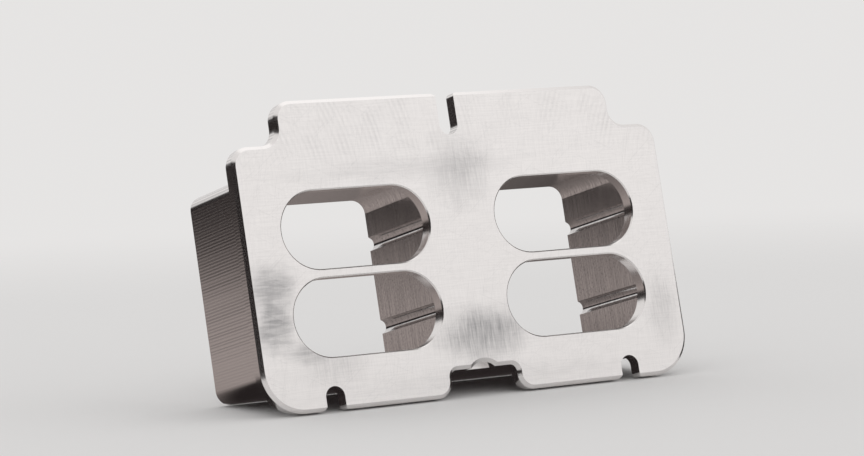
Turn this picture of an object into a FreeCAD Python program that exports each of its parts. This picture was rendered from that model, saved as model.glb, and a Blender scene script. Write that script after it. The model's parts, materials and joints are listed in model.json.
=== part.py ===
# Flanged twin-bay housing, CNC machined from one block of aluminium.
#
# The frame, in millimetres: the flange's front face lies in the XZ plane and looks along -Y, +Z points
# to the tab, and the box behind the flange runs along +Y. The origin is on the front face, in the middle
# of the four slots.
#
# The part is milled in this order, and the document's tree follows it: the flange and its outline, the
# relief in its lower edge, the screw notches, the box behind it, the two bays with their guide grooves,
# and the four slots that join the bays to the front.

import FreeCAD, Part
import math
import os
import Sketcher

NODE = "flanged_housing"

# name, size in mm, what it is
SIZES = [
    ("plate_width", 101.6, "flange, over its sides"),
    ("plate_height", 63.0, "flange, lower edge to the top of the tab"),
    ("plate_thickness", 3.0, "flange, and the floor of each bay"),
    ("plate_below", 27.5, "flange's lower edge below the middle of the slots"),
    ("tab_width", 80.0, "raised tab on the flange's upper edge"),
    ("tab_height", 8.9, "tab above the shoulders beside it"),
    ("lower_corner_radius", 9.0, "flange's lower corners"),
    ("shoulder_radius", 4.0, "flange's upper corners, beside the tab"),
    ("tab_corner_radius", 4.0, "tab's own corners"),
    ("tab_root_radius", 3.5, "inside corner between tab and shoulder"),
    ("outline_chamfer", 0.75, "chamfer round the flange's front edge"),
    ("screw_notch_width", 4.3, "open notch for an M4 screw"),
    ("top_notch_depth", 8.9, "notch in the middle of the tab"),
    ("lower_notch_depth", 4.8, "two notches in the lower edge"),
    ("lower_notch_spacing", 70.4, "between the two lower notches"),
    ("notch_mouth_radius", 1.0, "rounded corners at each notch's mouth"),
    ("relief_width", 15.8, "wide relief in the middle of the lower edge"),
    ("relief_corner_radius", 1.5, "relief's upper corners"),
    ("relief_foot_radius", 3.5, "relief's corners at the lower edge"),
    ("bump_radius", 4.0, "arched recess at the top of the relief"),
    ("bump_height", 1.15, "arched recess above the relief"),
    ("slot_length", 34.0, "obround slot, over its ends"),
    ("slot_width", 16.0, "obround slot, upper to lower side"),
    ("slot_spacing_x", 49.8, "between slot centres, side to side"),
    ("slot_spacing_z", 17.8, "between slot centres, upper to lower row"),
    ("slot_edge_break", 0.25, "broken front edge of each slot"),
    ("bay_side_clearance", 0.7, "bay beyond the ends of its slots"),
    ("bay_end_clearance", 1.6, "bay above the upper slot and below the lower one"),
    ("bay_corner_radius", 3.0, "upright corners of each bay"),
    ("side_wall", 5.2, "box wall beside a bay"),
    ("top_wall", 3.0, "box wall above the bays"),
    ("bottom_wall", 3.5, "box wall below the bays"),
    ("box_corner_radius", 3.0, "outer corners of the box"),
    ("total_depth", 28.0, "front face to the rear rim"),
    ("rim_break", 0.3, "broken edges of the rear rim"),
    ("guide_width", 3.0, "round-bottomed guide groove, across"),
    ("guide_depth", 1.25, "guide groove, into the bay's side wall"),
    ("guide_end_gap", 1.0, "guide groove's blind end, short of the bay's floor"),
]

# Lengths that follow from the sizes above, as expressions on the sheet.
FOLLOWING = [
    ("plate_above", "plate_height - plate_below", "tab's top above the middle of the slots"),
    ("bay_width", "slot_length + 2 * bay_side_clearance", "one bay, side to side"),
    ("bay_height", "slot_spacing_z + slot_width + 2 * bay_end_clearance", "one bay, up and down"),
    ("box_width", "slot_spacing_x + bay_width + 2 * side_wall", "box, over its sides"),
    ("box_above", "bay_height / 2 + top_wall", "box's top above the middle of the slots"),
    ("box_below", "bay_height / 2 + bottom_wall", "box's underside below the middle of the slots"),
]

TOLERANCE = 0.001


def make_sheet(document):
    """Write every driving size as a plain number, and every following length as a formula."""
    sheet = document.addObject("Spreadsheet::Sheet", "Sizes")
    rows = [(name, str(value), note) for name, value, note in SIZES]
    rows += [(name, "=" + formula, note) for name, formula, note in FOLLOWING]
    for row, (name, content, note) in enumerate(rows, start=1):
        sheet.set("A%d" % row, name)
        sheet.set("B%d" % row, content)
        sheet.set("C%d" % row, note)
        sheet.setAlias("B%d" % row, name)
    document.recompute()
    return sheet


def origin_plane(body, role):
    return next(item for item in body.Origin.OriginFeatures if item.Role == role)


def new_sketch(body, name, depth="0"):
    """A sketch parallel to the front face, at a depth behind it. Its x is X and its y is Z."""
    sketch = body.newObject("Sketcher::SketchObject", name)
    sketch.AttachmentSupport = [(origin_plane(body, "XZ_Plane"), "")]
    sketch.MapMode = "FlatFace"
    if depth != "0":
        sketch.setExpression("AttachmentOffset.Base.z", "-(%s)" % depth)
    return sketch


def value_of(item, expression):
    return float(item.evalExpression(expression))


def tie(sketch, kind, *references_and_expression):
    """Add a dimension to a sketch and bind it to an expression on the sheet."""
    *references, expression = references_and_expression
    value = value_of(sketch, expression)
    index = sketch.addConstraint(Sketcher.Constraint(kind, *references, value))
    sketch.setExpression("Constraints[%d]" % index, expression)


def place(sketch, geometry, point, x, z):
    """Fix a sketch point at (x, z), each an expression, or on the axis where it is '0'."""
    for kind, axis, expression in (("DistanceX", -2, x), ("DistanceY", -1, z)):
        if expression == "0":
            sketch.addConstraint(Sketcher.Constraint("PointOnObject", geometry, point, axis))
        else:
            tie(sketch, kind, -1, 1, geometry, point, expression)


def segment(sketch, start, end):
    return sketch.addGeometry(Part.LineSegment(FreeCAD.Vector(*start), FreeCAD.Vector(*end)))


def arc(sketch, centre, radius, start, end):
    """An arc about a centre, turning from one angle to another, in degrees."""
    circle = Part.Circle(FreeCAD.Vector(*centre), FreeCAD.Vector(0, 0, 1), radius)
    return sketch.addGeometry(Part.ArcOfCircle(circle, math.radians(start), math.radians(end)))


def close_ring(sketch, lines):
    """Join each line's end to the next one's start, and the last to the first."""
    for index, line in enumerate(lines):
        following = lines[(index + 1) % len(lines)]
        sketch.addConstraint(Sketcher.Constraint("Coincident", line, 2, following, 1))


def draw_flange(sketch):
    """The flange's outline with square corners: a plate with a narrower tab on top."""
    half_plate = value_of(sketch, "Sizes.plate_width / 2")
    half_tab = value_of(sketch, "Sizes.tab_width / 2")
    bottom = -value_of(sketch, "Sizes.plate_below")
    top = value_of(sketch, "Sizes.plate_above")
    shoulder = top - value_of(sketch, "Sizes.tab_height")
    corners = [(half_plate, bottom), (half_plate, shoulder), (half_tab, shoulder), (half_tab, top)]
    corners += [(-x, z) for x, z in reversed(corners)]
    lines = []
    for start, end in zip(corners, corners[1:] + corners[:1]):
        lines.append(segment(sketch, (start[0], start[1], 0), (end[0], end[1], 0)))
    close_ring(sketch, lines)
    for index, line in enumerate(lines[:-1]):
        sketch.addConstraint(Sketcher.Constraint("Horizontal" if index % 2 else "Vertical", line))
    for right, left in ((0, 7), (2, 5)):
        sketch.addConstraint(Sketcher.Constraint("Symmetric", right, 1, left, 1, -2))
    tie(sketch, "DistanceX", 7, 1, 0, 1, "Sizes.plate_width")
    tie(sketch, "DistanceX", 5, 1, 2, 1, "Sizes.tab_width")
    tie(sketch, "DistanceY", 0, 1, 3, 1, "Sizes.plate_height")
    tie(sketch, "DistanceY", 2, 1, 3, 1, "Sizes.tab_height")
    tie(sketch, "DistanceY", -1, 1, 3, 1, "Sizes.plate_above")


def rounded_rectangle(sketch, width, height, radius, x, z):
    """A rectangle with equal round corners about the centre (x, z), all expressions."""
    half_width = value_of(sketch, width) / 2
    half_height = value_of(sketch, height) / 2
    corner = value_of(sketch, radius)
    middle_x = value_of(sketch, x)
    middle_z = value_of(sketch, z)
    inner_x = half_width - corner
    inner_z = half_height - corner
    lines = []
    arcs = []
    for turn in range(4):
        angle = math.radians(90 * turn)
        along = inner_x if turn % 2 == 0 else inner_z
        out = half_height if turn % 2 == 0 else half_width

        def spot(run, outward):
            """A point on this side: so far along it, and so far out from the middle."""
            dx = run * math.cos(angle) + outward * math.sin(angle)
            dz = run * math.sin(angle) - outward * math.cos(angle)
            return (middle_x + dx, middle_z + dz, 0)

        lines.append(segment(sketch, spot(-along, out), spot(along, out)))
        arcs.append(arc(sketch, spot(along, out - corner), corner, 90 * turn - 90, 90 * turn))
    for turn in range(4):
        after = lines[(turn + 1) % 4]
        sketch.addConstraint(Sketcher.Constraint("Tangent", lines[turn], 2, arcs[turn], 1))
        sketch.addConstraint(Sketcher.Constraint("Tangent", arcs[turn], 2, after, 1))
        sketch.addConstraint(Sketcher.Constraint("Vertical" if turn % 2 else "Horizontal", lines[turn]))
        if turn:
            sketch.addConstraint(Sketcher.Constraint("Equal", arcs[0], arcs[turn]))
    middle = sketch.addGeometry(Part.Point(FreeCAD.Vector(middle_x, middle_z, 0)), True)
    sketch.addConstraint(Sketcher.Constraint("Symmetric", arcs[0], 3, arcs[2], 3, middle, 1))
    tie(sketch, "Radius", arcs[0], radius)
    tie(sketch, "DistanceX", lines[3], 1, lines[1], 1, width)
    tie(sketch, "DistanceY", lines[0], 1, lines[2], 1, height)
    place(sketch, middle, 1, x, z)


def obround(sketch, first, last, radius):
    """A slot between two arc centres, each a pair of expressions. last is to the right or above."""
    size = value_of(sketch, radius)
    start = [value_of(sketch, item) for item in first]
    end = [value_of(sketch, item) for item in last]
    heading = math.atan2(end[1] - start[1], end[0] - start[0])
    side_x = size * math.sin(heading)
    side_z = -size * math.cos(heading)
    degrees = math.degrees(heading)
    near = segment(sketch, (start[0] + side_x, start[1] + side_z, 0), (end[0] + side_x, end[1] + side_z, 0))
    far_end = arc(sketch, (end[0], end[1], 0), size, degrees - 90, degrees + 90)
    far = segment(sketch, (end[0] - side_x, end[1] - side_z, 0), (start[0] - side_x, start[1] - side_z, 0))
    near_end = arc(sketch, (start[0], start[1], 0), size, degrees + 90, degrees + 270)
    ring = [near, far_end, far, near_end]
    for index, item in enumerate(ring):
        following = ring[(index + 1) % 4]
        sketch.addConstraint(Sketcher.Constraint("Tangent", item, 2, following, 1))
    sketch.addConstraint(Sketcher.Constraint("Equal", far_end, near_end))
    tie(sketch, "Radius", far_end, radius)
    place(sketch, near_end, 3, *first)
    place(sketch, far_end, 3, *last)


def round_hole(sketch, x, z, radius):
    centre = FreeCAD.Vector(value_of(sketch, x), value_of(sketch, z), 0)
    circle = sketch.addGeometry(Part.Circle(centre, FreeCAD.Vector(0, 0, 1), value_of(sketch, radius)))
    tie(sketch, "Radius", circle, radius)
    place(sketch, circle, 3, x, z)


def pad(body, name, sketch, length):
    """Add material from the sketch towards the back."""
    feature = body.newObject("PartDesign::Pad", name)
    feature.Profile = sketch
    feature.setExpression("Length", length)
    feature.Reversed = True
    sketch.Visibility = False
    body.Document.recompute()
    return feature


def pocket(body, name, sketch, length, from_rear=False):
    """Cut from the sketch, towards the back or, from the rear rim, towards the front."""
    before = body.Tip.Shape.Volume
    feature = body.newObject("PartDesign::Pocket", name)
    feature.Profile = sketch
    feature.setExpression("Length", length)
    feature.Reversed = from_rear
    sketch.Visibility = False
    body.Document.recompute()
    if not feature.Shape.Volume < before - TOLERANCE:
        raise RuntimeError(name + " cuts nothing")
    return feature


def mirrored(body, name, feature):
    """Repeat a feature on the left of the YZ plane."""
    copy = body.newObject("PartDesign::Mirrored", name)
    copy.Originals = [feature]
    copy.MirrorPlane = (origin_plane(body, "YZ_Plane"), [""])
    body.Tip = copy
    body.Document.recompute()
    return copy


def dress(body, kind, name, edges, size):
    """A fillet or a chamfer on the named edges of the last feature."""
    if not edges:
        raise RuntimeError(name + " finds no edges")
    base = body.Tip
    feature = body.newObject("PartDesign::" + kind, name)
    feature.Base = (base, edges)
    feature.setExpression("Radius" if kind == "Fillet" else "Size", size)
    body.Document.recompute()
    return feature


def edges_through(body, spots):
    """The names of the edges that run along Y through the given (x, z) spots."""
    names = []
    for number, edge in enumerate(body.Tip.Shape.Edges, start=1):
        first = edge.Vertexes[0].Point
        last = edge.Vertexes[-1].Point
        if abs(first.x - last.x) > TOLERANCE or abs(first.z - last.z) > TOLERANCE:
            continue
        if any(math.hypot(first.x - x, first.z - z) < TOLERANCE for x, z in spots):
            names.append("Edge%d" % number)
    return names


def edges_at_depth(body, depth, wanted=lambda box: True):
    """The names of the edges in the plane y = depth whose bounding box passes the wanted test."""
    names = []
    for number, edge in enumerate(body.Tip.Shape.Edges, start=1):
        box = edge.BoundBox
        if abs(box.YMin - depth) < TOLERANCE and abs(box.YMax - depth) < TOLERANCE and wanted(box):
            names.append("Edge%d" % number)
    return names


def both_sides(spots):
    return spots + [(-x, z) for x, z in spots]


def make_flange(body, size):
    """The flange, its round corners, the relief in its lower edge, and the chamfer round it all."""
    outline = new_sketch(body, "FlangeOutline")
    draw_flange(outline)
    pad(body, "Flange", outline, "Sizes.plate_thickness")

    relief = new_sketch(body, "ReliefOutline")
    half_width = size("relief_width") / 2
    top = -size("box_below")
    bottom = -size("plate_below")
    beyond = bottom - (top - bottom)
    corners = [(-half_width, beyond), (half_width, beyond), (half_width, top), (-half_width, top)]
    lines = []
    for start, end in zip(corners, corners[1:] + corners[:1]):
        lines.append(segment(relief, (start[0], start[1], 0), (end[0], end[1], 0)))
    close_ring(relief, lines)
    for line, direction in zip(lines[1:], ("Vertical", "Horizontal", "Vertical")):
        relief.addConstraint(Sketcher.Constraint(direction, line))
    relief.addConstraint(Sketcher.Constraint("Symmetric", 0, 1, 0, 2, -2))
    tie(relief, "DistanceX", 0, 1, 0, 2, "Sizes.relief_width")
    tie(relief, "DistanceY", 0, 1, 2, 1, "2 * (Sizes.plate_below - Sizes.box_below)")
    tie(relief, "DistanceY", 2, 1, -1, 1, "Sizes.box_below")
    pocket(body, "Relief", relief, "Sizes.plate_thickness")

    bump = new_sketch(body, "BumpOutline")
    round_hole(bump, "0", "-Sizes.box_below + Sizes.bump_height - Sizes.bump_radius", "Sizes.bump_radius")
    pocket(body, "Bump", bump, "Sizes.plate_thickness")

    half_plate = size("plate_width") / 2
    half_tab = size("tab_width") / 2
    tab_top = size("plate_above")
    shoulder = tab_top - size("tab_height")
    rounds = [
        ("LowerCorners", [(half_plate, bottom)], "lower_corner_radius"),
        ("Shoulders", [(half_plate, shoulder)], "shoulder_radius"),
        ("TabCorners", [(half_tab, tab_top)], "tab_corner_radius"),
        ("TabRoots", [(half_tab, shoulder)], "tab_root_radius"),
        ("ReliefCorners", [(half_width, top)], "relief_corner_radius"),
        ("ReliefFeet", [(half_width, bottom)], "relief_foot_radius"),
    ]
    for name, spots, radius in rounds:
        dress(body, "Fillet", name, edges_through(body, both_sides(spots)), "Sizes." + radius)
    dress(body, "Chamfer", "OutlineChamfer", edges_at_depth(body, 0), "Sizes.outline_chamfer")


def make_screw_notches(body, size):
    """Three open U-shaped notches: one in the tab, two in the lower edge."""
    radius = "Sizes.screw_notch_width / 2"
    top = new_sketch(body, "TopNotchOutline")
    obround(top, ("0", "Sizes.plate_above - Sizes.top_notch_depth + Sizes.screw_notch_width / 2"),
            ("0", "Sizes.plate_above + Sizes.screw_notch_width"), radius)
    pocket(body, "TopNotch", top, "Sizes.plate_thickness")

    lower = new_sketch(body, "LowerNotchOutline")
    obround(lower, ("Sizes.lower_notch_spacing / 2", "-Sizes.plate_below - Sizes.screw_notch_width"),
            ("Sizes.lower_notch_spacing / 2",
             "-Sizes.plate_below + Sizes.lower_notch_depth - Sizes.screw_notch_width / 2"), radius)
    cut = pocket(body, "LowerNotch", lower, "Sizes.plate_thickness")
    mirrored(body, "LowerNotches", cut)

    half_notch = size("screw_notch_width") / 2
    lower_x = size("lower_notch_spacing") / 2
    mouths = [(half_notch, size("plate_above"))]
    mouths += [(lower_x - half_notch, -size("plate_below")), (lower_x + half_notch, -size("plate_below"))]
    dress(body, "Fillet", "NotchMouths", edges_through(body, both_sides(mouths)),
          "Sizes.notch_mouth_radius")


def make_box(body, size):
    """The box behind the flange, with a bay on each side of its middle web."""
    outline = new_sketch(body, "BoxOutline", "Sizes.plate_thickness")
    rounded_rectangle(outline, "Sizes.box_width", "Sizes.box_above + Sizes.box_below",
                      "Sizes.box_corner_radius", "0", "(Sizes.box_above - Sizes.box_below) / 2")
    pad(body, "Box", outline, "Sizes.total_depth - Sizes.plate_thickness")

    bay = new_sketch(body, "BayOutline", "Sizes.total_depth")
    rounded_rectangle(bay, "Sizes.bay_width", "Sizes.bay_height", "Sizes.bay_corner_radius",
                      "Sizes.slot_spacing_x / 2", "0")
    cut = pocket(body, "Bay", bay, "Sizes.total_depth - Sizes.plate_thickness", from_rear=True)
    mirrored(body, "Bays", cut)
    dress(body, "Chamfer", "RimBreak", edges_at_depth(body, size("total_depth")), "Sizes.rim_break")


def make_guides(body):
    """Round-bottomed guide grooves down both side walls of each bay, one pair to each slot."""
    guides = new_sketch(body, "GuideOutlines", "Sizes.total_depth")
    for side in ("+", "-"):
        x = "Sizes.slot_spacing_x / 2 %s (Sizes.bay_width / 2 + Sizes.guide_depth" % side
        x += " - Sizes.guide_width / 2)"
        for row in ("", "-"):
            round_hole(guides, x, row + "Sizes.slot_spacing_z / 2", "Sizes.guide_width / 2")
    length = "Sizes.total_depth - Sizes.plate_thickness - Sizes.guide_end_gap"
    cut = pocket(body, "GuideGrooves", guides, length, from_rear=True)
    mirrored(body, "AllGuideGrooves", cut)


def make_slots(body, size):
    """The four obround slots through the flange, in two rows, with broken front edges."""
    slots = new_sketch(body, "SlotOutlines")
    inner = "Sizes.slot_spacing_x / 2 - (Sizes.slot_length - Sizes.slot_width) / 2"
    outer = "Sizes.slot_spacing_x / 2 + (Sizes.slot_length - Sizes.slot_width) / 2"
    for row in ("", "-"):
        z = row + "Sizes.slot_spacing_z / 2"
        obround(slots, (inner, z), (outer, z), "Sizes.slot_width / 2")
    cut = pocket(body, "Slot", slots, "Sizes.plate_thickness")
    mirrored(body, "Slots", cut)

    reach_x = (size("slot_spacing_x") + size("slot_length")) / 2 + TOLERANCE
    reach_z = (size("slot_spacing_z") + size("slot_width")) / 2 + TOLERANCE

    def round_a_slot(box):
        return max(-box.XMin, box.XMax) < reach_x and max(-box.ZMin, box.ZMax) < reach_z

    dress(body, "Chamfer", "SlotEdges", edges_at_depth(body, 0, round_a_slot), "Sizes.slot_edge_break")


def check(document, body):
    for item in document.Objects:
        if "Invalid" in item.State or "Error" in item.State:
            raise RuntimeError("%s: %s" % (item.Name, item.State))
    shape = body.Shape
    if shape.isNull() or not shape.isValid() or len(shape.Solids) != 1:
        raise RuntimeError(body.Label + " isn't one valid solid")


def main():
    document = FreeCAD.newDocument("FlangedHousing")
    sheet = make_sheet(document)
    body = document.addObject("PartDesign::Body", "FlangedHousing")
    body.Label = NODE

    def size(name):
        return float(sheet.evalExpression("Sizes." + name))

    make_flange(body, size)
    make_screw_notches(body, size)
    make_box(body, size)
    make_guides(body)
    make_slots(body, size)
    document.recompute()
    check(document, body)

    os.makedirs("parts", exist_ok=True)
    body.Shape.exportStep("parts/%s.step" % NODE)
    bounds = body.Shape.BoundBox
    print("%s: %.1f x %.1f x %.1f mm, %.1f cm3" % (NODE, bounds.XLength, bounds.YLength, bounds.ZLength,
                                                 body.Shape.Volume / 1000))


main()
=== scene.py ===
# %% [markdown]
# # A flanged housing milled from one block of aluminium
#
# The real object is a single piece of metal: a cutter has left the flange, the slots, the box behind it
# and the grooves in its bays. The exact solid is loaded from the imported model, so no shape is made here.
# What this lesson makes is the finish: bare machined metal, whose whole character lies in how each cutter
# left its marks. A plain metal colour would give the right shape and the wrong object.

# %% Load the fixed frame
import json
import math

import bpy
from mathutils import Matrix, Vector

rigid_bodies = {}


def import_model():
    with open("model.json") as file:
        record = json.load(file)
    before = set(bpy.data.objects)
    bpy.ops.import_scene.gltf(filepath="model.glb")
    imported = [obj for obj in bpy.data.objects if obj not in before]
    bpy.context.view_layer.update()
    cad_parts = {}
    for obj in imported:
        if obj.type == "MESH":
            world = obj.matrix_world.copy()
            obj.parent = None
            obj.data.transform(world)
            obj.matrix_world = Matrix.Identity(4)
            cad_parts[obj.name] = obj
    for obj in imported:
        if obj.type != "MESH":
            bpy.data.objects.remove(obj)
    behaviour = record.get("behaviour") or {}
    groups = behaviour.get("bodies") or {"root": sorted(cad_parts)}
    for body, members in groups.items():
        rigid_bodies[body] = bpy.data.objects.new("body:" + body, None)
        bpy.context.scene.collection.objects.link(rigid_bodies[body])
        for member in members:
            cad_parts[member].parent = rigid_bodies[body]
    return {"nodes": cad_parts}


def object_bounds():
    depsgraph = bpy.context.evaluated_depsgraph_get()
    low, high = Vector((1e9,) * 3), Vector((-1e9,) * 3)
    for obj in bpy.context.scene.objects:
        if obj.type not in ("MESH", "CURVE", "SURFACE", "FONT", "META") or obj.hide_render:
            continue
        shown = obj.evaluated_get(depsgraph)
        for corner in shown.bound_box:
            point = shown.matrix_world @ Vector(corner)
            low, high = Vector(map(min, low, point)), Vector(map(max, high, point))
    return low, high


for leftover in list(bpy.data.objects):
    bpy.data.objects.remove(leftover)

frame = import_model()
bpy.ops.object.select_all(action="DESELECT")
housing = frame["nodes"]["flanged_housing"]
cad_low, cad_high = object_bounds()
MM = 0.001
print("housing, mm:", [round(size / MM, 2) for size in cad_high - cad_low])

# %% [markdown]
# ## The camera
#
# A long lens from low on the left looks up at the part and across its front face, so that the box's side
# shows behind the flange. A camera could be aimed with a constraint, but a constraint settles on its own
# idea of what is level. Here its three axes are written down, because the part leans and the camera is
# level with the table, not with the part.

# %% Camera
FILM_WIDTH = 36.0
LENS = 126.78
CLIP_START = 0.01
CLIP_END = 20.0

camera_data = bpy.data.cameras.new("camera")
camera_data.sensor_fit = "HORIZONTAL"
camera_data.sensor_width = FILM_WIDTH
camera_data.lens = LENS
camera_data.clip_start = CLIP_START
camera_data.clip_end = CLIP_END
camera = bpy.data.objects.new("camera", camera_data)
bpy.context.scene.collection.objects.link(camera)

eye = Vector((-0.3195, -0.5331, -0.0680))
forward = Vector((0.5013, 0.8567, 0.1212)).normalized()
right = Vector((0.8627, -0.4841, -0.1466))
right = (right - forward * right.dot(forward)).normalized()
up = right.cross(forward)
axes = Matrix((right, up, -forward)).transposed()
camera.matrix_world = Matrix.Translation(eye) @ axes.to_4x4()
bpy.context.scene.camera = camera
bpy.context.scene.view_settings.view_transform = "Standard"
print("camera is", round(eye.length, 3), "m from the origin")

# %% [markdown]
# ## Where the part touches the table
#
# The housing can't stand up straight by itself: it leans back until the rear edge of the flange and the
# rear edge of the box both touch the table. The part keeps its own frame, so the table is the thing that
# is tilted here. The tilt comes from the two edges that touch, not from a guessed angle.

# %% The tilt of the table
FLANGE_THICKNESS = 3.0 * MM
BOX_UNDERSIDE = -22.0 * MM

flange_foot = Vector((0.0, FLANGE_THICKNESS, cad_low.z))
box_foot = Vector((0.0, cad_high.y, BOX_UNDERSIDE))
lean = math.atan2(box_foot.z - flange_foot.z, box_foot.y - flange_foot.y)
table_up = Vector((0.0, -math.sin(lean), math.cos(lean)))
print("the part leans back", round(math.degrees(lean), 1), "degrees")

# %% [markdown]
# ## Helpers for shader nodes
#
# The materials below are sums and products of masks. Written with bare node calls they would hide what
# they mean, so a few short functions stand for the nodes that are used over and over. More of them follow
# where they are first needed.


# %% Adding and joining nodes
def add(tree, kind, inputs=None, **settings):
    """One new node. inputs sets its sockets by name or index: a socket is linked, a plain value is set."""
    made = tree.nodes.new(kind)
    for name, value in settings.items():
        setattr(made, name, value)
    for socket, value in (inputs or {}).items():
        if isinstance(value, bpy.types.NodeSocket):
            tree.links.new(value, made.inputs[socket])
        else:
            made.inputs[socket].default_value = value
    return made


def calc(tree, operation, first, second=0.0):
    """The result of one Math node."""
    return add(tree, "ShaderNodeMath", {0: first, 1: second}, operation=operation).outputs[0]


def step(tree, value, low, high, out_low=0.0, out_high=1.0):
    """A smooth ramp from out_low to out_high while the value goes from low to high."""
    sockets = {"Value": value, "From Min": low, "From Max": high, "To Min": out_low, "To Max": out_high}
    made = add(tree, "ShaderNodeMapRange", sockets, interpolation_type="SMOOTHSTEP")
    return made.outputs["Result"]


def length_of(tree, vector):
    return add(tree, "ShaderNodeVectorMath", {0: vector}, operation="LENGTH").outputs["Value"]


def empty_material(name):
    """A new material with an empty node tree, and that tree."""
    material = bpy.data.materials.new(name)
    material.use_nodes = True
    material.node_tree.nodes.clear()
    return material, material.node_tree


print("helpers: add, calc, step, length_of, empty_material")

# %% [markdown]
# ## The table
#
# The table is a plain pale disc that fades out towards its rim, so that it has no horizon. A bent sheet
# would do the same for one view, but it would stand in the way of the views from behind. The disc is
# see-through from below, so that a low view from behind still shows the part.

# %% The table's disc and its material
TABLE_RADIUS = 0.60
TABLE_FADE = 0.25
TABLE_SIDES = 96
TABLE_COLOUR = (0.80, 0.80, 0.80, 1.0)


def table_material():
    material, tree = empty_material("pale_table")
    place = add(tree, "ShaderNodeTexCoord").outputs["Object"]
    fade = step(tree, length_of(tree, place), TABLE_FADE, TABLE_RADIUS)
    below = add(tree, "ShaderNodeNewGeometry").outputs["Backfacing"]
    unseen = calc(tree, "MAXIMUM", fade, below)
    matte = add(tree, "ShaderNodeBsdfDiffuse", {"Color": TABLE_COLOUR}).outputs[0]
    clear = add(tree, "ShaderNodeBsdfTransparent").outputs[0]
    shader = add(tree, "ShaderNodeMixShader", {0: unseen, 1: matte, 2: clear}).outputs[0]
    add(tree, "ShaderNodeOutputMaterial", {"Surface": shader})
    return material


bpy.ops.mesh.primitive_circle_add(vertices=TABLE_SIDES, radius=TABLE_RADIUS, fill_type="NGON")
table = bpy.context.object
table.name = "table"
table.matrix_world = Matrix.Translation(flange_foot) @ Matrix.Rotation(lean, 4, "X")
table.data.materials.append(table_material())
print("table:", TABLE_RADIUS * 2, "m across")

# %% [markdown]
# ## The room
#
# Bare metal shows its surroundings more than its own colour, so the lighting is half of the finish. The
# room is a plain pale world. The camera and the metal see one brightness of it and the table is lit by
# another, so that the backdrop's tone and the light on the table can be set apart.

# %% The pale room
ROOM_SEEN = 0.79
ROOM_LIGHT = 0.80
ROOM_COLOUR = (1.0, 0.985, 0.975, 1.0)


def make_room():
    world = bpy.data.worlds.new("studio")
    bpy.context.scene.world = world
    world.use_nodes = True
    tree = world.node_tree
    tree.nodes.clear()
    path = add(tree, "ShaderNodeLightPath").outputs
    mirrored = calc(tree, "MAXIMUM", path["Is Glossy Ray"], path["Is Transmission Ray"])
    shown = calc(tree, "MAXIMUM", path["Is Camera Ray"], mirrored)
    strength = step(tree, shown, 0.0, 1.0, ROOM_LIGHT, ROOM_SEEN)
    light = add(tree, "ShaderNodeBackground", {"Color": ROOM_COLOUR, "Strength": strength})
    add(tree, "ShaderNodeOutputWorld", {"Surface": light.outputs[0]})


make_room()
print("world:", bpy.context.scene.world.name)

# %% [markdown]
# ## The lamps
#
# One large soft panel stands to the right of the camera, where the front face mirrors it, and one stands
# overhead, where the rounded upper edges mirror it. Small lamps would give hard spots, which this satin
# metal doesn't show.

# %% Soft panels
PANELS = [
    # name, toward, distance, width, height, power
    ("front_panel", (0.55, -0.83, 0.35), 0.9, 0.7, 0.5, 0.25),
    ("overhead_panel", (0.10, 0.30, 0.95), 0.9, 0.9, 0.9, 0.7),
]


def facing(toward, distance):
    """The place and turn of something that stands in a direction from the part and looks back at it."""
    direction = Vector(toward).normalized()
    return Matrix.Translation(direction * distance) @ direction.to_track_quat("Z", "Y").to_matrix().to_4x4()


def soft_panel(name, toward, distance, width, height, power):
    """A rectangular lamp."""
    lamp = bpy.data.lights.new(name, "AREA")
    lamp.shape = "RECTANGLE"
    lamp.size = width
    lamp.size_y = height
    lamp.energy = power
    holder = bpy.data.objects.new(name, lamp)
    bpy.context.scene.collection.objects.link(holder)
    holder.matrix_world = facing(toward, distance)


for panel in PANELS:
    soft_panel(*panel)

# %% [markdown]
# ## Dark flags
#
# A bright room on every side washes metal out. As is done in a product studio, this scene stands dark
# cards behind the part and to its left, where the side walls look. Only reflections see them, so they cast
# no shadow and darken no table. Their borders are soft, because a hard one would show in the walls as a
# line.

# %% Dark flags
FLAGS = [
    # name, toward, distance, width, height
    ("flag_behind", (-0.45, 0.87, 0.09), 0.60, 1.30, 0.40),
    ("flag_left", (-0.85, -0.50, 0.15), 0.60, 0.90, 0.60),
]
FLAG_COLOUR = (0.020, 0.016, 0.016, 1.0)
FLAG_BORDER = 0.5
FLAG_SOFTNESS = 0.12


def product(tree, first, *others):
    """All the values multiplied together."""
    for value in others:
        first = calc(tree, "MULTIPLY", first, value)
    return first


def flag_material(name):
    """A dark surface that thins out to nothing towards the card's own edges."""
    material, tree = empty_material(name)
    place = add(tree, "ShaderNodeTexCoord").outputs["Object"]
    across, upward, _ = add(tree, "ShaderNodeSeparateXYZ", {0: place}).outputs
    inner = FLAG_BORDER - FLAG_SOFTNESS
    solid = product(tree, step(tree, calc(tree, "ABSOLUTE", across), FLAG_BORDER, inner),
                    step(tree, calc(tree, "ABSOLUTE", upward), FLAG_BORDER, inner))
    dark = add(tree, "ShaderNodeEmission", {"Color": FLAG_COLOUR, "Strength": 1.0}).outputs[0]
    clear = add(tree, "ShaderNodeBsdfTransparent").outputs[0]
    shader = add(tree, "ShaderNodeMixShader", {0: solid, 1: clear, 2: dark}).outputs[0]
    add(tree, "ShaderNodeOutputMaterial", {"Surface": shader})
    return material


def seen_in_metal_only(card):
    card.visible_camera = False
    card.visible_diffuse = False
    card.visible_shadow = False


def dark_flag(name, toward, distance, width, height):
    """A dark card that stands in a direction from the part and shows only in its reflections."""
    bpy.ops.mesh.primitive_plane_add(size=2 * FLAG_BORDER)
    card = bpy.context.object
    card.name = name
    card.matrix_world = facing(toward, distance) @ Matrix.Diagonal((width, height, 1.0, 1.0))
    card.data.materials.append(flag_material(name))
    seen_in_metal_only(card)


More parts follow.
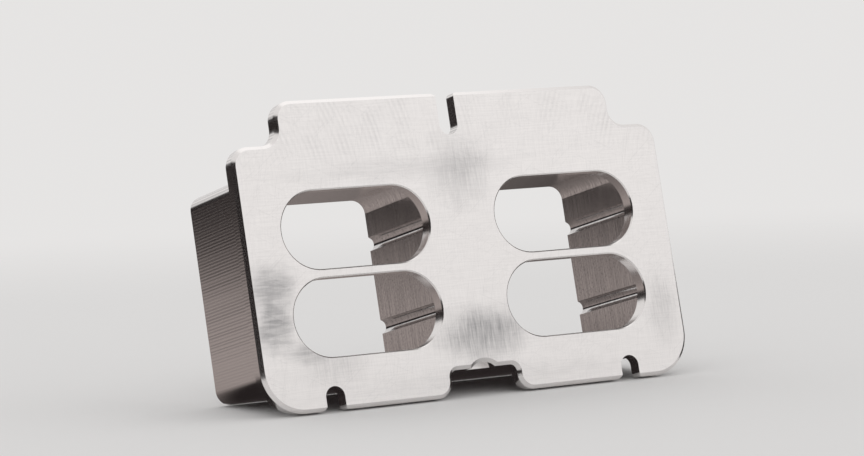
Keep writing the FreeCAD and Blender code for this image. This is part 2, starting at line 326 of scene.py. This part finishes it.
for flag in FLAGS:
    dark_flag(*flag)
print("flags:", [flag[0] for flag in FLAGS])

# %% [markdown]
# ## A sheet of painted light and shade behind the part
#
# The walls of the box and of the bays look down at the table behind the part, close by at their foot and
# far off at their top. A glowing sheet there, seen only in reflections, holds the table's painted light
# and painted shadow: a mid grey pool in one place, where the overhead panel lights the table, and dark all
# round it and close behind the part's foot, where the part shades the table. It gives the walls their
# long fade from grey at the foot to nearly black at the top. Lamps alone can't make that fade, because
# the table itself is pale.

# %% A sheet of painted light and shade on the table behind the part
PAINTED_SHEET_RADIUS = 0.70
PAINTED_SHEET_SIDES = 64
PAINTED_SHEET_LIFT = 0.5 * MM
PAINTED_SHEET_FRONT_EDGE = -0.024
PAINTED_POOL_MIDDLE = (-0.120, 0.125, 0.0)
PAINTED_POOL_STRETCH = (1.15, 0.85, 1.0)
PAINTED_POOL_NEAR = 0.06
PAINTED_POOL_FAR = 0.34
SHADE_START = -0.006
SHADE_END = 0.018
# The grey of the painted pool of light, where the overhead panel lights the table behind the part.
PAINTED_POOL_GREY = (0.345, 0.300, 0.285, 1.0)


def blend_colour(tree, amount, first, second):
    """first where amount is 0, second where it is 1."""
    made = add(tree, "ShaderNodeMix", {"Factor": amount}, data_type="RGBA")
    sockets = [socket for socket in made.inputs if socket.type == "RGBA"]
    for socket, value in zip(sockets, (first, second)):
        socket.default_value = value
    return next(socket for socket in made.outputs if socket.type == "RGBA")


def painted_table_light_material():
    """A painted pool of light: mid grey in one place behind the part, where the overhead panel lights the
    table, and dark all round.

    It is also dark close behind the part's foot: a painted shadow where the part keeps the light off the
    table.
    """
    material, tree = empty_material("painted_table_light_and_shade")
    place = add(tree, "ShaderNodeTexCoord").outputs["Object"]
    offset = add(tree, "ShaderNodeVectorMath", {0: place, 1: PAINTED_POOL_MIDDLE}, operation="SUBTRACT").outputs[0]
    oval = add(tree, "ShaderNodeVectorMath", {0: offset, 1: PAINTED_POOL_STRETCH}, operation="MULTIPLY").outputs[0]
    far = step(tree, length_of(tree, oval), PAINTED_POOL_NEAR, PAINTED_POOL_FAR)
    behind = add(tree, "ShaderNodeSeparateXYZ", {0: place}).outputs["Y"]
    # Painted shadow: dark close behind the part's foot, where the part keeps the light off the table.
    shaded = step(tree, behind, SHADE_END, SHADE_START)
    # The emitted colour is painted light and shade: the lit grey pool, dark far from it and in the painted
    # shadow.
    colour = blend_colour(tree, calc(tree, "MAXIMUM", far, shaded), PAINTED_POOL_GREY, FLAG_COLOUR)
    glow = add(tree, "ShaderNodeEmission", {"Color": colour, "Strength": 1.0}).outputs[0]
    add(tree, "ShaderNodeOutputMaterial", {"Surface": glow})
    return material


# The sheet glows with painted light and shade and shows only in the metal's reflections.
bpy.ops.mesh.primitive_circle_add(vertices=PAINTED_SHEET_SIDES, radius=PAINTED_SHEET_RADIUS, fill_type="NGON")
painted_sheet = bpy.context.object
painted_sheet.name = "painted_table_light_and_shade"
bpy.ops.object.mode_set(mode="EDIT")
bpy.ops.mesh.select_all(action="SELECT")
bpy.ops.mesh.bisect(plane_co=(0.0, PAINTED_SHEET_FRONT_EDGE, 0.0), plane_no=(0.0, 1.0, 0.0), clear_inner=True)
bpy.ops.object.mode_set(mode="OBJECT")
painted_sheet.matrix_world = (Matrix.Translation(box_foot + table_up * PAINTED_SHEET_LIFT)
                      @ Matrix.Rotation(lean, 4, "X"))
painted_sheet.data.materials.append(painted_table_light_material())
seen_in_metal_only(painted_sheet)
print("cloth:", len(painted_sheet.data.vertices), "vertices")

# %% [markdown]
# ## The finish
#
# Every face of the housing is the same bare metal. What differs is the cutter that passed over it, so one
# material does for all, with masks that find each kind of face from its place and from the way it looks.
# Giving groups of faces a material of their own would also work, but a mark could then fade out only at
# an edge of the mesh.


# %% Making and using a node group
def new_group(name, inputs, outputs):
    """An empty group. inputs maps a socket's name to its default value. All the sockets are numbers."""
    tree = bpy.data.node_groups.new(name, "ShaderNodeTree")
    for socket, default in inputs.items():
        made = tree.interface.new_socket(socket, in_out="INPUT", socket_type="NodeSocketFloat")
        made.default_value = default
    for socket in outputs:
        tree.interface.new_socket(socket, in_out="OUTPUT", socket_type="NodeSocketFloat")
    given = tree.nodes.new("NodeGroupInput").outputs
    result = tree.nodes.new("NodeGroupOutput").inputs
    return tree, given, result


def use(tree, group, **values):
    """Place a group in a tree. Its sockets are named as keywords, with _ for a space."""
    node = tree.nodes.new("ShaderNodeGroup")
    node.node_tree = group
    for name, value in values.items():
        socket = node.inputs[name.replace("_", " ")]
        if isinstance(value, bpy.types.NodeSocket):
            tree.links.new(value, socket)
        else:
            socket.default_value = value
    return node.outputs


print("materials so far:", [item.name for item in bpy.data.materials])

# %% [markdown]
# ## Which face is which
#
# A mask is a number from 0 to 1 over the surface. The front face looks along -Y. A wall is any face that
# looks neither forwards nor back. It is an outer wall where it lies on the box's outer planes or beyond
# them, as the flange's edges do. The walls that are left, behind the flange, are the bays'. The places are
# in millimetres. Around is a distance that runs round the box: Z on its upright sides, and X on its top
# and underside.

# %% Where each kind of face begins and ends
# Each pair of numbers says where a mask is 0 and where it is 1.
FRONT_NORMAL = (-0.96, -0.995)
SIDEWAYS_NORMAL = (0.25, 0.1)
UPRIGHT_NORMAL = (0.65, 0.75)
BOX_SIDE = 46.0
BOX_TOP = 20.0
OUTER_MARGIN = 1.0
BAY_START = (2.5, 3.2)
BAY_MIDDLE = 24.9
GROOVE_INSIDE = (17.72, 17.82)
GROOVE_LEVEL = 8.9
GROOVE_REACH = (1.9, 1.6)
print("outer walls lie beyond", BOX_SIDE, "mm to the side or", BOX_TOP, "mm up or down")


# %% Node group: the kinds of face
def summed(tree, first, *others):
    """All the values added together."""
    for value in others:
        first = calc(tree, "ADD", first, value)
    return first


def distance_from(tree, value, middle):
    """How far a value lies from a middle, on either side."""
    return calc(tree, "ABSOLUTE", calc(tree, "SUBTRACT", value, middle))


def make_faces():
    names = ("X", "Y", "Z", "Around", "Front", "Outer wall", "Bay wall", "Groove")
    tree, _, result = new_group("faces_of_the_part", {}, names)
    coordinates = add(tree, "ShaderNodeTexCoord").outputs
    place = add(tree, "ShaderNodeVectorMath", {0: coordinates["Object"], 3: 1.0 / MM}, operation="SCALE")
    x, y, z = add(tree, "ShaderNodeSeparateXYZ", {0: place.outputs[0]}).outputs
    facing_x, facing_y, _ = add(tree, "ShaderNodeSeparateXYZ", {0: coordinates["Normal"]}).outputs
    from_middle = calc(tree, "ABSOLUTE", x)
    from_level = calc(tree, "ABSOLUTE", z)

    upright = step(tree, calc(tree, "ABSOLUTE", facing_x), *UPRIGHT_NORMAL)
    level = calc(tree, "SUBTRACT", 1.0, upright)
    side = step(tree, calc(tree, "ABSOLUTE", facing_y), *SIDEWAYS_NORMAL)
    at_side = step(tree, from_middle, BOX_SIDE - OUTER_MARGIN, BOX_SIDE)
    at_top = step(tree, from_level, BOX_TOP - OUTER_MARGIN, BOX_TOP)
    outside = product(tree, side, calc(tree, "MAXIMUM", at_side, at_top))
    in_bay = product(tree, calc(tree, "SUBTRACT", side, outside), step(tree, y, *BAY_START))
    sunk = product(tree, step(tree, distance_from(tree, from_middle, BAY_MIDDLE), *GROOVE_INSIDE),
                   step(tree, distance_from(tree, from_level, GROOVE_LEVEL), *GROOVE_REACH))

    made = {
        "X": x,
        "Y": y,
        "Z": z,
        "Around": summed(tree, product(tree, z, upright), product(tree, x, level)),
        "Front": step(tree, facing_y, *FRONT_NORMAL),
        "Outer wall": outside,
        "Bay wall": in_bay,
        "Groove": product(tree, sunk, in_bay),
    }
    for name, value in made.items():
        tree.links.new(value, result[name])
    return tree


faces_of_the_part = make_faces()
print("group:", faces_of_the_part.name)

# %% [markdown]
# ## Cutter marks
#
# A cutter's teeth leave shallow scallops side by side at an even pitch, and no two are quite alike. The
# group turns a distance across the marks into a height, and gives each scallop a depth of its own. A wave
# texture would repeat too evenly.

# %% Node group: scallops
SHALLOWEST_SCALLOP = 0.4


def make_scallops():
    inputs = {"Position": 0.0, "Pitch": 0.5, "Seed": 0.0}
    tree, given, result = new_group("cutter_scallops", inputs, ("Height",))
    turns = calc(tree, "DIVIDE", given["Position"], given["Pitch"])
    number = summed(tree, calc(tree, "FLOOR", turns), given["Seed"])
    chance = add(tree, "ShaderNodeTexWhiteNoise", {"W": number}, noise_dimensions="1D").outputs["Value"]
    wave = calc(tree, "COSINE", product(tree, turns, 2.0 * math.pi))
    hollow = summed(tree, product(tree, wave, 0.5), 0.5)
    depth = step(tree, chance, 0.0, 1.0, SHALLOWEST_SCALLOP, 1.0)
    tree.links.new(product(tree, hollow, depth), result["Height"])
    return tree


cutter_scallops = make_scallops()
print("group:", cutter_scallops.name)

# %% [markdown]
# ## Streaks
#
# Rubbing and wiping leave streaks: noise that changes slowly along a line and fast across it. One group
# with a length and a width serves the weave, the smears, the scratches and the passes in the bays.

# %% Node group: streaks
STREAK_CONTRAST = (0.3, 0.7)


def point(tree, x, y, z):
    return add(tree, "ShaderNodeCombineXYZ", {0: x, 1: y, 2: z}).outputs[0]


def make_streaks():
    """Noise drawn out along its first direction: 0 to 1."""
    inputs = {"Along": 0.0, "Across": 0.0, "Length": 5.0, "Width": 0.3, "Seed": 0.0}
    tree, given, result = new_group("streaks", inputs, ("Value",))
    along = calc(tree, "DIVIDE", given["Along"], given["Length"])
    across = calc(tree, "DIVIDE", given["Across"], given["Width"])
    place = point(tree, along, across, given["Seed"])
    noise = add(tree, "ShaderNodeTexNoise", {"Vector": place, "Scale": 1.0, "Detail": 2.0, "Roughness": 0.6})
    tree.links.new(step(tree, noise.outputs["Fac"], *STREAK_CONTRAST), result["Value"])
    return tree


streaks = make_streaks()
print("group:", streaks.name)

# %% [markdown]
# ## Patches
#
# Handling and uneven rubbing leave patches of their own on the front. Each is an oval whose border is made
# ragged by noise, since a clean oval would look painted on.

# %% Node group: a patch on a flat face
RAGGED = 0.7
PATCH_BORDER = (1.15, 0.15)


def noise_at(tree, place, scale, detail):
    """Cloudy noise about 0.5."""
    made = add(tree, "ShaderNodeTexNoise", {"Vector": place, "Scale": scale, "Detail": detail})
    return made.outputs["Fac"]


def make_patch():
    """1 in the middle of an oval, 0 outside it, with a ragged border."""
    inputs = {"X": 0.0, "Z": 0.0, "Middle X": 0.0, "Middle Z": 0.0, "Half width": 5.0, "Half height": 5.0}
    tree, given, result = new_group("patch", inputs, ("Mask",))
    from_x = calc(tree, "SUBTRACT", given["X"], given["Middle X"])
    from_z = calc(tree, "SUBTRACT", given["Z"], given["Middle Z"])
    place = point(tree, calc(tree, "DIVIDE", from_x, given["Half width"]),
                  calc(tree, "DIVIDE", from_z, given["Half height"]), 0.0)
    uneven = calc(tree, "SUBTRACT", noise_at(tree, place, scale=1.6, detail=3.0), 0.5)
    ragged = summed(tree, length_of(tree, place), product(tree, uneven, RAGGED))
    tree.links.new(step(tree, ragged, *PATCH_BORDER), result["Mask"])
    return tree


patch = make_patch()
print("group:", patch.name)

# %% [markdown]
# ## The front face
#
# The front has the look of a face that was milled flat and then rubbed on fine paper: a faint weave of
# scratches, with a few longer ones across it. Between the slots there are upright streaks, as where the
# rubbing was lighter, and the left margin is smeared, as by handling. All the places and sizes are in
# millimetres.

# %% Front face: where the marks are and how dark
LEVEL_WEAVE = 0.065
UPRIGHT_WEAVE = 0.05
SCRATCHES = [
    # angle in degrees, seed
    (38.0, 21.0),
    (-27.0, 24.0),
    (74.0, 27.0),
]
SCRATCH_STRENGTH = 0.06
SCRATCH_CONTRAST = (0.86, 1.0)
STREAKED_PATCHES = [
    # middle x, middle z, half width, half height, how dark
    (1.0, 19.0, 9.0, 9.0, 0.30),
    (1.0, -15.0, 13.0, 6.5, 0.68),
    (45.5, -13.0, 5.0, 9.0, 0.24),
    (-34.0, -19.0, 9.0, 5.0, 0.20),
]
STREAKED_FINE = 0.30
STREAKED_BROAD = (0.48, 0.68)
SMEARED_PATCHES = [
    # middle x, middle z, half width, half height, how dark
    (-46.0, -2.0, 7.0, 5.5, 0.55),
    (-46.5, -10.0, 5.5, 6.0, 0.62),
    (-39.5, -15.5, 6.0, 3.0, 0.42),
    (-12.0, 20.3, 34.0, 3.0, 0.13),
    (0.0, -24.5, 46.0, 3.5, 0.12),
]
SMEARED_BROAD = (0.62, 1.0)
print("patches on the front:", len(STREAKED_PATCHES) + len(SMEARED_PATCHES))


# %% Front face: the weave, the scratches and the patches
def scratches(tree, x, z, angle, seed):
    """Thin scratches that run at an angle across the face: 0 to 1."""
    cosine = math.cos(math.radians(angle))
    sine = math.sin(math.radians(angle))
    along = summed(tree, product(tree, x, cosine), product(tree, z, sine))
    across = calc(tree, "SUBTRACT", product(tree, z, cosine), product(tree, x, sine))
    value = use(tree, streaks, Along=along, Across=across, Length=14.0, Width=0.28, Seed=seed)["Value"]
    return step(tree, value, *SCRATCH_CONTRAST)


def patches(tree, x, z, table_of_patches, marks):
    """The same marks inside each of several patches, as dark as each patch says."""
    made = []
    for middle_x, middle_z, half_width, half_height, strength in table_of_patches:
        mask = use(tree, patch, X=x, Z=z, Middle_X=middle_x, Middle_Z=middle_z,
                   Half_width=half_width, Half_height=half_height)["Mask"]
        made.append(product(tree, mask, marks, strength))
    return made


def front_marks(tree, x, z):
    """How dark the front face is, and the weave alone, each from 0 to 1."""
    level = use(tree, streaks, Along=x, Across=z, Length=7.0, Width=0.30)["Value"]
    upright = use(tree, streaks, Along=z, Across=x, Length=5.0, Width=0.32, Seed=3.0)["Value"]
    upright_broad = use(tree, streaks, Along=z, Across=x, Length=7.0, Width=1.1, Seed=6.0)["Value"]
    level_broad = use(tree, streaks, Along=x, Across=z, Length=6.0, Width=1.0, Seed=9.0)["Value"]
    weave = summed(tree, product(tree, level, LEVEL_WEAVE), product(tree, upright, UPRIGHT_WEAVE))
    darker = [weave]
    for angle, seed in SCRATCHES:
        darker.append(product(tree, scratches(tree, x, z, angle, seed), SCRATCH_STRENGTH))
    streaked = summed(tree, product(tree, upright, STREAKED_FINE),
                      step(tree, upright_broad, 0.0, 1.0, *STREAKED_BROAD))
    smeared = step(tree, level_broad, 0.0, 1.0, *SMEARED_BROAD)
    darker += patches(tree, x, z, STREAKED_PATCHES, streaked)
    darker += patches(tree, x, z, SMEARED_PATCHES, smeared)
    return summed(tree, *darker), weave


print("directions of long scratches:", [angle for angle, _ in SCRATCHES])

# %% [markdown]
# ## Arcs on the tab
#
# The tab shows two sets of arcs, like those of a big face cutter that swept in from the left and from the
# right. Each set is made of rings about a middle that lies off the part, one ring to a scallop. They are
# made apart from the weave, because they follow a circle and not a straight line.

# %% Front face: the sweeps
SWEEPS = [
    # middle of the arcs in x and z, where they are strongest in x, where they have faded in x
    (-66.0, 17.0, -20.0, 30.0),
    (78.0, 10.0, 42.0, 4.0),
]
SWEEP_PITCH = 1.15
SWEEP_FADED = 0.15
TAB_START = (20.0, 26.0)
SWEEP_PATCHINESS = (0.3, 0.65)
SWEEP_PATCH_SEED = 4.0


def sweep_marks(tree, x, z):
    """The face cutter's arcs on the tab, one set from each pass: 0 to 1."""
    noise = noise_at(tree, point(tree, x, z, SWEEP_PATCH_SEED), scale=0.16, detail=2.0)
    on_tab = product(tree, step(tree, z, *TAB_START), step(tree, noise, *SWEEP_PATCHINESS))
    sets = []
    for middle_x, middle_z, strongest, faded in SWEEPS:
        radius = length_of(tree, point(tree, calc(tree, "SUBTRACT", x, middle_x),
                                       calc(tree, "SUBTRACT", z, middle_z), 0.0))
        arcs = use(tree, cutter_scallops, Position=radius, Pitch=SWEEP_PITCH)["Height"]
        sets.append(product(tree, arcs, step(tree, x, faded, strongest, SWEEP_FADED, 1.0)))
    return product(tree, summed(tree, *sets), on_tab)


print("sets of arcs:", len(SWEEPS))

# %% [markdown]
# ## The walls
#
# A tooth of an end mill leaves a line as long as the cut is deep, so the box's outside has feed lines that
# run from front to back, side by side all the way round. They fade low down. In the bays the marks run
# round the walls, as when a tool goes down level by level, and there are fine specks over them. The grooves
# have chatter across them. The feed lines and the chatter come from one group, each at a pitch of its own.

# %% Walls: the marks
FEED_PITCH = 0.64
FEED_FADE = (-19.0, -8.0)
FEED_FADED = 0.15
CHATTER_PITCH = 0.55
CHATTER_SEED = 5.0
SPECK_CONTRAST = (0.5, 0.7)


def wall_marks(tree, face):
    """Feed lines, passes, specks and chatter, each from 0 to 1 on its own kind of face."""
    x, y, z = face["X"], face["Y"], face["Z"]
    lines = use(tree, cutter_scallops, Position=face["Around"], Pitch=FEED_PITCH)["Height"]
    fading = step(tree, z, *FEED_FADE, FEED_FADED, 1.0)
    passes = use(tree, streaks, Along=z, Across=y, Length=9.0, Width=0.35, Seed=12.0)["Value"]
    specks = noise_at(tree, point(tree, x, y, z), scale=2.2, detail=3.0)
    chatter = use(tree, cutter_scallops, Position=y, Pitch=CHATTER_PITCH, Seed=CHATTER_SEED)["Height"]
    return {
        "feed": product(tree, lines, fading, face["Outer wall"]),
        "passes": product(tree, passes, face["Bay wall"]),
        "specks": product(tree, step(tree, specks, *SPECK_CONTRAST), face["Bay wall"]),
        "chatter": product(tree, chatter, face["Groove"]),
    }


print("feed lines every", FEED_PITCH, "mm, chatter every", CHATTER_PITCH, "mm")

# %% [markdown]
# ## The material
#
# All the marks feed the colour. The feed lines, the passes, the chatter and the weave tilt the metal a
# little too, so they feed the bump, and the marks on the front feed the roughness. Bump alone would vanish
# from most angles at this scale, and colour alone would look printed.

# %% How strongly each mark shows
METAL = (0.885, 0.860, 0.850, 1.0)
DULL_METAL = (0.20, 0.20, 0.21, 1.0)
SWEEP_DARK = 0.13
WALL_DARK = {"passes": 0.30, "specks": 0.30, "feed": 0.48, "chatter": 0.32}
WALL_ROUGHNESS = 0.20
FRONT_ROUGHER = 0.11
MARKS_ROUGHER = 0.10
GROOVE_ROUGHER = -0.07
WALL_HEIGHT_MM = {"feed": 0.0045, "chatter": 0.0040, "passes": 0.0015}
WEAVE_HEIGHT_MM = 0.01
print("deepest mark on the walls:", max(WALL_HEIGHT_MM.values()), "mm")


# %% The material
def aluminium():
    material = bpy.data.materials.new("machined_aluminium")
    material.use_nodes = True
    tree = material.node_tree
    shader = tree.nodes["Principled BSDF"]
    shader.inputs["Metallic"].default_value = 1.0
    face = use(tree, faces_of_the_part)

    marks, weave = front_marks(tree, face["X"], face["Z"])
    sweeps = sweep_marks(tree, face["X"], face["Z"])
    walls = wall_marks(tree, face)
    front_dark = product(tree, summed(tree, marks, product(tree, sweeps, SWEEP_DARK)), face["Front"])
    wall_dark = [product(tree, walls[name], strength) for name, strength in WALL_DARK.items()]
    colour = blend_colour(tree, summed(tree, front_dark, *wall_dark), METAL, DULL_METAL)
    tree.links.new(colour, shader.inputs["Base Color"])

    rough = summed(tree, product(tree, face["Front"], FRONT_ROUGHER),
                   product(tree, front_dark, MARKS_ROUGHER),
                   product(tree, face["Groove"], GROOVE_ROUGHER), WALL_ROUGHNESS)
    tree.links.new(rough, shader.inputs["Roughness"])

    heights = [product(tree, walls[name], depth) for name, depth in WALL_HEIGHT_MM.items()]
    heights.append(product(tree, weave, face["Front"], WEAVE_HEIGHT_MM))
    bump = add(tree, "ShaderNodeBump", {"Height": summed(tree, *heights), "Distance": MM, "Strength": 1.0})
    tree.links.new(bump.outputs["Normal"], shader.inputs["Normal"])
    return material


housing.material_slots[0].material = aluminium()
print("material:", housing.material_slots[0].material.name)
